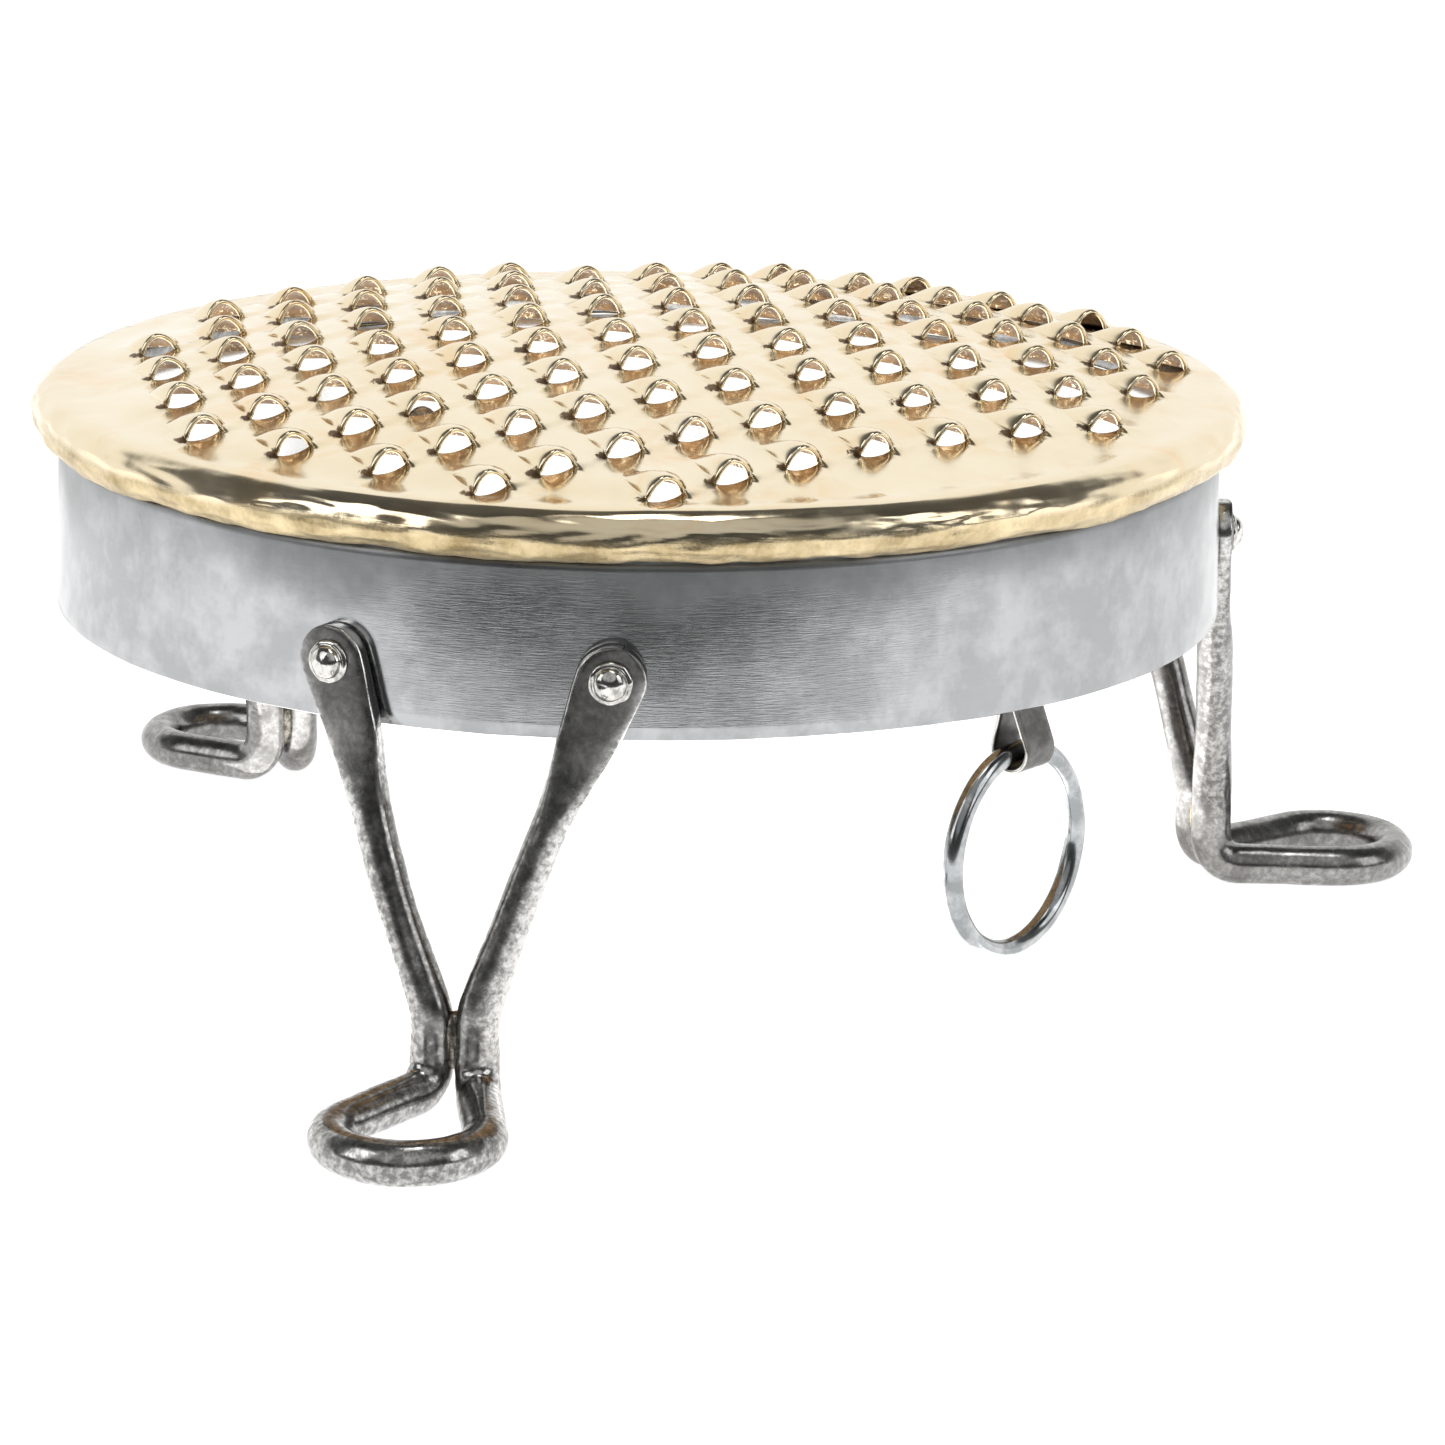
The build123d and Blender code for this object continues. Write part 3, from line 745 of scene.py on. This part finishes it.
def skirt():
    """The skirt: thin band with rounded edges, not quite even round the circle."""
    profile = []
    for k in range(15):
        z = BAND_TOP + (BAND_BOTTOM + 0.35 - BAND_TOP) * k / 14
        profile.append((0.0, z))
    profile += [(-0.16, BAND_BOTTOM + 0.12), (-0.45, BAND_BOTTOM)]
    profile += [(-1.05, BAND_BOTTOM), (-1.34, BAND_BOTTOM + 0.12)]
    for k in range(15):
        z = BAND_BOTTOM + 0.35 + (BAND_TOP - BAND_BOTTOM - 0.35) * k / 14
        profile.append((-BAND_THICK, z))
    pts = []
    rings = []
    worn = []
    grime_and_shade = []
    painted_bright_inside = []
    turns = 300
    for k in range(turns):
        a = 2 * math.pi * k / turns
        ring = []
        for inset, z in profile:
            where = (math.cos(a) * 143, math.sin(a) * 143, z)
            dip = 0.10 + 0.16 * rough(where, 45, 4.4, 2)
            r = band_r(z) + inset - max(0.0, dip)
            edge = 0.12 * (rough(where, 12, 9.0, 2) + 1) if z < BAND_BOTTOM + 0.5 else 0.0
            ring.append(len(pts))
            pts.append((r * math.cos(a), r * math.sin(a), z + edge))
            worn.append(0.9 if z < BAND_BOTTOM + 0.3 else 0.12)
            # painted shade: the skirt darkens in an uneven band towards its top, under the rolled rim
            level = 116 + 8 * rough(where, 40, 6.0, 3)
            grime_and_shade.append(0.72 * float(smooth(z, level - 6, level + 12)))
            # painted light: the inner face is near white
            painted_bright_inside.append(1.0 if inset == -BAND_THICK else 0.0)
        rings.append(ring)
    pts = np.array(pts)
    marks = {"worn": worn, "grime_and_shade": grime_and_shade, "painted_bright_inside": painted_bright_inside}
    return pts, face_out(strip(rings, closed_path=True), pts), marks


pts, faces, marks = skirt()
make_object("skirt_sheet", pts, faces, SKIRT, "stand", ["skirt_band"], marks)


# ---------------------------------------------------------------- legs
def rounded_line(corners, radii, step):
    """Points along straight runs with their corners rounded to arcs."""
    line = [np.array(corners[0])]
    for k in range(1, len(corners) - 1):
        before, corner, after = (np.array(corners[m]) for m in (k - 1, k, k + 1))
        into = (corner - before) / np.linalg.norm(corner - before)
        out = (after - corner) / np.linalg.norm(after - corner)
        angle = math.acos(np.clip(np.dot(into, out), -1, 1))
        cut = radii[k - 1] * math.tan(angle / 2)
        start = corner - into * cut
        bisector = out - into
        bisector /= np.linalg.norm(bisector)
        centre = corner + bisector * radii[k - 1] / math.cos(angle / 2)
        steps = max(3, int(radii[k - 1] * angle / step) + 1)
        axis = Vector(np.cross(into, out)).normalized()
        for m in range(steps + 1):
            turn = Matrix.Rotation(angle * m / steps, 3, axis)
            line.append(centre + np.array(turn @ Vector(start - centre)))
    line.append(np.array(corners[-1]))
    return line


def spaced(line, step):
    """The same line with its points no further apart than a step."""
    out = [line[0]]
    for a, b in zip(line[:-1], line[1:]):
        parts = max(1, math.ceil(np.linalg.norm(b - a) / step))
        for k in range(1, parts + 1):
            out.append(a + (b - a) * k / parts)
    return out


def rivet_frame(azimuth, z=RIVET_Z):
    """Where the skirt is pierced: place, outward direction and sideways direction."""
    a = math.radians(azimuth)
    radial = np.array([math.sin(a), -math.cos(a), 0])
    out = radial * math.cos(FLARE) + np.array([0, 0, math.sin(FLARE)])
    side = np.array([math.cos(a), math.sin(a), 0])
    return radial * band_r(z) + np.array([0, 0, z]), out, side


def leg(neck_r, seed, bows, wear):
    """A leg at the front: the half from the right arm's flat end to the foot's tip, then mirrored."""
    at, out, _ = rivet_frame(RIVET_HALF_ANGLE)
    middle = at + out * PADDLE_T / 2
    half_gap = BAR_R + STRAND_GAP / 2
    neck = np.array([half_gap, -neck_r, NECK_TOP])
    heel = np.array([half_gap, -neck_r, FOOT_Z])
    reach = math.hypot(LOOP_AT - neck_r, half_gap)
    spread = math.asin(LOOP_R / reach) - math.atan2(half_gap, LOOP_AT - neck_r)
    run = math.sqrt(reach**2 - LOOP_R**2)
    tangent = heel + np.array([run * math.sin(spread), -run * math.cos(spread), 0])
    down = neck - middle
    down = down - out * np.dot(down, out)
    down /= np.linalg.norm(down)

    def on_arm(z):
        return middle + down * (RIVET_Z - z) / -down[2]

    low = on_arm(PADDLE_LOW)
    full = low + (neck - low) * (PADDLE_LOW - BAR_FULL) / (PADDLE_LOW - NECK_TOP)
    centre = np.array([0, -LOOP_AT, FOOT_Z])
    first = math.atan2(tangent[1] - centre[1], tangent[0])
    loop = []
    for k in range(1, 37):
        a = first + (-math.pi / 2 - first) * k / 36
        loop.append(centre + LOOP_R * np.array([math.cos(a), math.sin(a), 0]))
    stations = []
    tops = [88, 80, 70, 60, 50, 40, 30, 20, 10]
    for degrees in tops:
        d = PADDLE_W / 2 * math.sin(math.radians(degrees))
        wide = PADDLE_W / 2 * math.cos(math.radians(degrees))
        stations.append((middle - down * d, wide, PADDLE_T / 2, 5.0))
    length = np.linalg.norm(low - middle)
    for k in range(0, 15):
        s = k / 14
        ease = float(smooth(s, 0.0, 1.35))
        wide = PADDLE_W / 2 + (LOW_HALF - PADDLE_W / 2) * float(smooth(s, -0.15, 1.2))
        thick = PADDLE_T / 2 + 0.55 * ease
        place = middle + down * length * s + out * (thick - PADDLE_T / 2)
        stations.append((place, wide, thick, 5.0 - 1.4 * ease))
    last_place, wide_0, thick_0, power_0 = stations[-1]
    for k in range(1, 17):
        s = k / 16
        ease = s * s * (3 - 2 * s)
        ease_w = 1 - (1 - s) ** 1.8
        wide = wide_0 + (ARM_R - wide_0) * ease_w
        thick = thick_0 + (ARM_R - thick_0) * ease
        place = low + (full - low) * s + (last_place - low) * (1 - ease)
        stations.append((place, wide, thick, power_0 + (2.0 - power_0) * ease))
    bends = rounded_line([full, neck, heel, tangent], [ARM_BEND, HEEL_BEND], 1.4)
    rest = spaced(bends + loop, 1.6)[1:]
    for place in rest:
        if place[2] > NECK_TOP:
            r = ARM_R + (BAR_R - ARM_R) * float(1 - smooth(place[2], NECK_TOP + 2, NECK_TOP + 24))
        else:
            r = BAR_R
        stations.append((place, r, r, 2.0))

    across = 30
    pts = []
    rings = []
    worn = []
    grime_and_shade = []
    thick_way = out.copy()
    for n, (place, wide, thick, power) in enumerate(stations):
        ahead = stations[min(n + 1, len(stations) - 1)][0] - stations[max(n - 1, 0)][0]
        ahead /= np.linalg.norm(ahead)
        if n == len(stations) - 1:
            ahead = np.array([-1.0, 0, 0])
        thick_way = thick_way - ahead * np.dot(thick_way, ahead)
        thick_way /= np.linalg.norm(thick_way)
        wide_way = np.cross(thick_way, ahead)
        ring = []
        for k in range(across):
            b = 2 * math.pi * k / across
            c, s = math.cos(b), math.sin(b)
            a = wide * math.copysign(abs(c) ** (2 / power), c)
            t = thick * math.copysign(abs(s) ** (2 / power), s)
            p = place + wide_way * a + thick_way * t
            normal = wide_way * c / max(wide, 0.5) + thick_way * s / max(thick, 0.5)
            normal /= np.linalg.norm(normal)
            hammered = 0.12 * rough(p, 12, seed, 2) + 0.05 * rough(p, 3.5, seed + 2, 2) - 0.12
            if power > 4 and s < 0:
                hammered = -0.02
            fold = math.exp(-(((p[2] - FOLD_Z) / 2.0) ** 2))
            fold -= 0.8 * math.exp(-(((p[2] - CREASE_Z) / 0.9) ** 2))
            hammered += 0.55 * fold * max(0.0, -normal[1]) * (0.6 + 0.5 * rough(p, 4, seed, 2))
            p = p + normal * hammered * min(1.0, wide / 4)
            p[2] = max(p[2], 0.0)
            ring.append(len(pts))
            pts.append(p)
            flat_share = (power - 2.0) / 3.0
            edge = abs(c) ** 6 * flat_share
            foot = float(1 - smooth(p[2], 0.2, 3.0))
            near_foot = 0.06 * float(1 - smooth(p[2], 8, 20))
            outer = 0.34 * max(0.0, c) * (1 - flat_share) * float(smooth(p[2], 6, 26))
            rubbed = 0.36 * (1 - 0.6 * flat_share) + 0.8 * edge + 0.1 * foot + near_foot + outer
            worn.append(wear * min(0.9, rubbed))
            # a darker middle on each paddle's flat face
            grime_and_shade.append(max(0.0, flat_share - 0.1) * (1 - abs(c)) * 0.9)
        rings.append(ring)
    faces = strip(rings, cap=False)
    faces.append(tuple(reversed(rings[0])))
    half = np.array(pts)
    half[rings[-1], 0] = 0.0
    other = half * np.array([-1, 1, 1])
    count = len(half)
    both = np.vstack([half, other])
    number = list(range(count)) + [k + count for k in range(count)]
    for k in rings[-1]:
        number[k + count] = k
    second = [tuple(number[k + count] for k in reversed(f)) for f in faces]
    used = sorted(set(number))
    compact = {n: k for k, n in enumerate(used)}
    all_faces = [tuple(compact[number[k]] for k in f) for f in faces]
    all_faces += [tuple(compact[k] for k in f) for f in second]
    both = both[used]
    arch = np.sin(math.pi * np.clip((PADDLE_LOW - both[:, 2]) / (PADDLE_LOW - NECK_TOP), 0, 1))
    both[:, 0] += arch * np.where(both[:, 0] < 0, bows[0], bows[1])
    marks = {"worn": [(worn + worn)[n] for n in used], "grime_and_shade": [(grime_and_shade + grime_and_shade)[n] for n in used]}
    return both, face_out(all_faces, both), marks


def lathe(profile, at, out, side, steps, wobble, seed):
    """A turned shape on a frame: profile of radius and height along out, closed at both ends."""
    up = np.cross(out, side)
    pts = []
    rings = []
    for r, h in profile:
        ring = []
        for k in range(steps):
            b = 2 * math.pi * k / steps
            p = at + side * r * math.cos(b) + up * r * math.sin(b) + out * h
            shift = wobble * rough(p, 2.6, seed, 2)
            scale = 1 + min(0.0, shift - wobble * 0.5) / max(r, 1.0)
            sideways = (side * math.cos(b) + up * math.sin(b)) * r * scale
            p = at + sideways + out * (h + shift * 0.6 - wobble * 0.5)
            ring.append(len(pts))
            pts.append(p)
        rings.append(ring)
    pts = np.array(pts)
    return pts, face_out(strip(rings), pts)


def rivet_profile():
    """From the tail inside the skirt, along the shank, to the hammered dome and its pressed rim."""
    profile = []
    inside = -BAND_THICK - 0.3
    for k in range(1, 7):
        a = math.pi / 2 * k / 6
        profile.append((RIVET_TAIL_R * math.sin(a), inside - RIVET_TAIL_H * math.cos(a)))
    profile += [(RIVET_TAIL_R - 0.1, inside), (RIVET_SHANK_R, inside), (RIVET_SHANK_R, PADDLE_T)]
    base = PADDLE_T + 0.06
    profile += [(RIVET_HEAD_R - 0.15, base), (RIVET_HEAD_R, base + 0.25), (RIVET_HEAD_R - 0.08, base + 0.60)]
    profile += [(RIVET_HEAD_R - 0.40, base + 0.90), (RIVET_HEAD_R - 0.85, base + 0.98)]
    profile.append((RIVET_HEAD_R - 1.15, base + 0.93))
    dome = RIVET_HEAD_R - 1.25
    for k in range(1, 10):
        a = math.pi / 2 * k / 10
        profile.append((dome * math.cos(a) + 0.02, base + 0.95 + (RIVET_HEAD_H - 1.0) * math.sin(a)))
    profile.append((0.35, base + RIVET_HEAD_H - 0.06))
    return profile


def braze_lump(neck_r, seed):
    """Braze run into the groove between the two strands, with soft edges."""
    pts = []
    rings = []
    for k in range(0, 21):
        s = -1 + 2 * k / 20
        z = 16.4 + 6.9 * s
        swell = max(0.02, 1 - s**4) ** 0.5
        ring = []
        for m in range(18):
            b = 2 * math.pi * m / 18
            p = np.array([2.5 * swell * math.cos(b), -neck_r + 3.5 * swell * math.sin(b), z])
            p[1] += 0.35 * rough(p, 4, seed, 2) * math.sin(b)
            ring.append(len(pts))
            pts.append(p)
        rings.append(ring)
    pts = np.array(pts)
    return pts, face_out(strip(rings), pts)


for number, (name, (azimuth, neck_r)) in enumerate(LEGS.items()):
    pts, faces, marks = leg(neck_r, 3.0 + number * 11, ARM_BOWS[name], LEG_WEAR[name])
    pts = turned(pts, azimuth)
    make_object(f"leg_bar_{name}", pts, faces, FORGED, "stand", [f"leg_{name}"], marks)
    pts, faces = braze_lump(neck_r, number * 5.0)
    pts = turned(pts, azimuth)
    metal = BRAZED if name == "right" else TARNISHED
    marks = {"worn": np.full(len(pts), 0.5)}
    make_object(f"braze_run_{name}", pts, faces, metal, "stand", [f"braze_{name}"], marks)
    for sign, hand in ((-1, "left"), (1, "right")):
        node = f"rivet_{name}_{hand}"
        at, out, side = rivet_frame(azimuth + sign * RIVET_HALF_ANGLE)
        pts, faces = lathe(rivet_profile(), at, out, side, 36, 0.22, number * 7.0 + sign)
        marks = {"worn": np.full(len(pts), 0.5)}
        make_object(f"rivet_head_{name}_{hand}", pts, faces, RIVET, "stand", [node], marks)


# ---------------------------------------------------------------- strap and ring
def strap_frame():
    """The strap's plane: place under the skirt's inner face, outward direction and sideways direction."""
    a = math.radians(STRAP_AZIMUTH)
    inner = band_r(STRAP_RIVET_Z) - BAND_THICK
    place = np.array([math.sin(a), -math.cos(a), 0]) * inner
    b = math.radians(STRAP_AZIMUTH + STRAP_TURN)
    out = np.array([math.sin(b), -math.cos(b), 0])
    side = np.array([math.cos(b), math.sin(b), 0])
    return place, out, side


def tangent_point(centre, radius, point, side):
    to = point - centre
    angle = math.atan2(to[1], to[0]) - side * (math.pi / 2 - math.asin(radius / np.linalg.norm(to)))
    return centre + np.array([math.cos(angle), math.sin(angle)]) * radius


def strap():
    place, out, side = strap_frame()
    eye = np.array([STRAP_BULGE - STRAP_T - STRAP_EYE_R, BAND_BOTTOM - STRAP_EYE_DROP])
    askew = STRAP_W / 2 * math.sin(math.radians(STRAP_TURN)) + 0.45
    outer_x = -askew - STRAP_T / 2
    inner_x = outer_x - STRAP_T - 0.02
    outer = [np.array([outer_x, STRAP_TOP]), np.array([outer_x, BAND_BOTTOM + 0.5])]
    inner = [np.array([inner_x, STRAP_TOP]), np.array([inner_x, STRAP_SPLIT])]
    touch_out = tangent_point(eye, EYE_R, outer[1], 1)
    touch_in = tangent_point(eye, EYE_R, inner[1], -1)
    start = math.atan2(*(touch_out - eye)[::-1])
    end = math.atan2(*(touch_in - eye)[::-1])
    while end > start:
        end -= 2 * math.pi
    arc = []
    for k in range(1, 30):
        a = start + (end - start) * k / 30
        arc.append(eye + EYE_R * np.array([math.cos(a), math.sin(a)]))
    line = [np.append(p, 0) for p in [outer[0], outer[1], touch_out, *arc, touch_in, inner[1], inner[0]]]
    line = [p[:2] for p in spaced(line, 1.2)]
    half = STRAP_W / 2
    t = STRAP_T / 2
    section = []
    for a in np.linspace(-half + 0.35, half - 0.35, 9):
        section.append((a, t))
    section += [(half - 0.08, t * 0.62), (half, 0.0), (half - 0.08, -t * 0.62)]
    for a in np.linspace(half - 0.35, -half + 0.35, 9):
        section.append((a, -t))
    section += [(-half + 0.08, -t * 0.62), (-half, 0.0), (-half + 0.08, t * 0.62)]
    pts = []
    rings = []
    worn = []
    for n, p in enumerate(line):
        ahead = line[min(n + 1, len(line) - 1)] - line[max(n - 1, 0)]
        ahead /= np.linalg.norm(ahead)
        normal = np.array([ahead[1], -ahead[0]])
        ring = []
        for across, thick in section:
            flat = p + normal * thick
            spot = place + out * flat[0] + np.array([0, 0, flat[1]]) + side * across
            ring.append(len(pts))
            pts.append(spot)
            worn.append(1.0 if abs(across) > half - 0.3 else 0.18)
        rings.append(ring)
    pts = np.array(pts)
    return pts, face_out(strip(rings), pts), worn


pts, faces, worn = strap()
make_object("strap_sheet", pts, faces, STRAP, "stand", ["ring_strap"], {"worn": worn})

strap_rivet_profile = [(0.4, -4.6), (1.6, -4.5), (2.5, -4.1), (2.8, -3.6)]
strap_rivet_profile += [(1.6, -3.5), (1.6, -0.2), (1.5, -0.06), (0.3, -0.03)]
at, out, side = rivet_frame(STRAP_AZIMUTH, STRAP_RIVET_Z)
pts, faces = lathe(strap_rivet_profile, at, out, side, 24, 0.05, 1.0)
marks = {"worn": np.full(len(pts), 0.3)}
make_object("strap_pin", pts, faces, SKIRT, "stand", ["strap_rivet"], marks)

ring_low, ring_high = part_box("hanging_ring")
RING_MIDDLE = np.array((ring_low + ring_high) / 2 / MM) - np.array(AXIS)
_, ring_across, ring_side = strap_frame()


def ring_place(a, b, c):
    """From the ring's own plane, which faces the way the strap does."""
    return RING_MIDDLE + ring_side * a + np.array([0, 0, 1.0]) * b + ring_across * c


pts, faces = torus(RING_R, RING_BAR_R - 0.03, 160, 24, ring_place, 0.03)
marks = {"worn": np.full(len(pts), 0.4)}
make_object("ring_bar", pts, faces, ZINC, "ring", ["hanging_ring"], marks)


# ---------------------------------------------------------------- floor, light, camera
FLOOR_SIZE = 6.0  # half of the floor, metres
FLOOR_GLOW = 0.90
FLOOR_FRONT = -0.54  # the pale floor ends here; the room is dim before it


def floor():
    """A plain pale floor."""
    size = FLOOR_SIZE
    mesh = bpy.data.meshes.new("floor")
    corners = [(-size, FLOOR_FRONT, 0), (size, FLOOR_FRONT, 0), (size, size, 0), (-size, size, 0)]
    mesh.from_pydata(corners, [], [(0, 1, 2, 3)])
    obj = bpy.data.objects.new("floor", mesh)
    bpy.context.scene.collection.objects.link(obj)
    n = Nodes("pale_floor")
    grain = n.noise(400, 4, 0.6)
    tint = n.ramp(grain, (0.3, 0.90), (0.7, 0.93))
    n.put(tint, n.shader.inputs["Base Color"])
    n.put(tint, n.shader.inputs["Emission Color"])
    n.shader.inputs["Emission Strength"].default_value = FLOOR_GLOW
    n.shader.inputs["Roughness"].default_value = 0.9
    n.shader.inputs["Specular IOR Level"].default_value = 0.0
    mesh.materials.append(n.material)


def world():
    """A soft room: bright behind, dim above and in front, paler high in front, white to the camera."""
    w = bpy.data.worlds.new("studio")
    bpy.context.scene.world = w
    w.use_nodes = True
    tree = w.node_tree
    tree.nodes.clear()
    out = tree.nodes.new("ShaderNodeOutputWorld")
    where = tree.nodes.new("ShaderNodeTexCoord")
    parts = tree.nodes.new("ShaderNodeSeparateXYZ")
    tree.links.new(where.outputs["Generated"], parts.inputs[0])
    back = tree.nodes.new("ShaderNodeMath")
    back.operation = "MULTIPLY"
    back.inputs[1].default_value = -0.9
    tree.links.new(parts.outputs["Y"], back.inputs[0])
    lift = tree.nodes.new("ShaderNodeMath")
    lift.operation = "ADD"
    tree.links.new(parts.outputs["Z"], lift.inputs[0])
    tree.links.new(back.outputs[0], lift.inputs[1])
    up = tree.nodes.new("ShaderNodeMapRange")
    up.inputs["From Min"].default_value = -1.4
    up.inputs["From Max"].default_value = 1.4
    tree.links.new(lift.outputs[0], up.inputs["Value"])
    ramp = tree.nodes.new("ShaderNodeValToRGB")
    tree.links.new(up.outputs[0], ramp.inputs["Fac"])
    stops = ((0.0, 1.1), (0.525, 1.05), (0.55, 0.60), (0.58, 0.13))
    stops += ((0.89, 0.05), (0.93, 0.50), (1.0, 0.62))
    while len(ramp.color_ramp.elements) < len(stops):
        ramp.color_ramp.elements.new(0.5)
    for element, (at, level) in zip(ramp.color_ramp.elements, stops):
        element.position = at
        element.color = (level, level, level * 0.985, 1)
    soft = tree.nodes.new("ShaderNodeBackground")
    tree.links.new(ramp.outputs[0], soft.inputs[0])
    soft.inputs[1].default_value = 1.0
    seen = tree.nodes.new("ShaderNodeBackground")
    seen.inputs[0].default_value = (1, 1, 1, 1)
    seen.inputs[1].default_value = 1.0
    path = tree.nodes.new("ShaderNodeLightPath")
    mix = tree.nodes.new("ShaderNodeMixShader")
    tree.links.new(path.outputs["Is Camera Ray"], mix.inputs[0])
    tree.links.new(soft.outputs[0], mix.inputs[1])
    tree.links.new(seen.outputs[0], mix.inputs[2])
    tree.links.new(mix.outputs[0], out.inputs[0])


def area(name, place, target, size, power):
    light = bpy.data.lights.new(name, "AREA")
    light.shape = "RECTANGLE"
    light.size, light.size_y = size
    light.energy = power
    obj = bpy.data.objects.new(name, light)
    obj.location = place
    obj.rotation_euler = (Vector(target) - Vector(place)).to_track_quat("-Z", "Y").to_euler()
    bpy.context.scene.collection.objects.link(obj)


world()
floor()
middle = (0, 0, 0.1)
area("key_left", (-1.6, -0.9, 1.3), middle, (1.0, 1.5), 9.5)
area("fill_right", (1.7, -0.9, 1.1), middle, (1.0, 1.4), 7.5)
area("overhead", (0.1, -0.2, 1.9), middle, (0.5, 0.5), 3)
# under the plate, a dim lamp on the floor stands in for light thrown up by the table
under = (AXIS.x * MM, AXIS.y * MM, 0.004)
area("under_plate", under, (under[0], under[1] + 0.001, 0.14), (0.24, 0.24), 0.30)

CAMERA_FOV = 14.468
CAMERA_PITCH = 74.885
CAMERA_ROLL = 0.913
camera = bpy.data.cameras.new("camera")
camera.sensor_width = 36.0
camera.lens = 18.0 / math.tan(math.radians(CAMERA_FOV) / 2)
camera.clip_end = 30
view = bpy.data.objects.new("camera", camera)
view.location = (-0.00527, -1.3633, 0.42475)
pitch = Euler((math.radians(CAMERA_PITCH), 0, 0)).to_matrix()
view.rotation_euler = (pitch @ Matrix.Rotation(math.radians(CAMERA_ROLL), 3, "Z")).to_euler()
bpy.context.scene.collection.objects.link(view)
bpy.context.scene.camera = view
bpy.context.scene.view_settings.view_transform = "Standard"
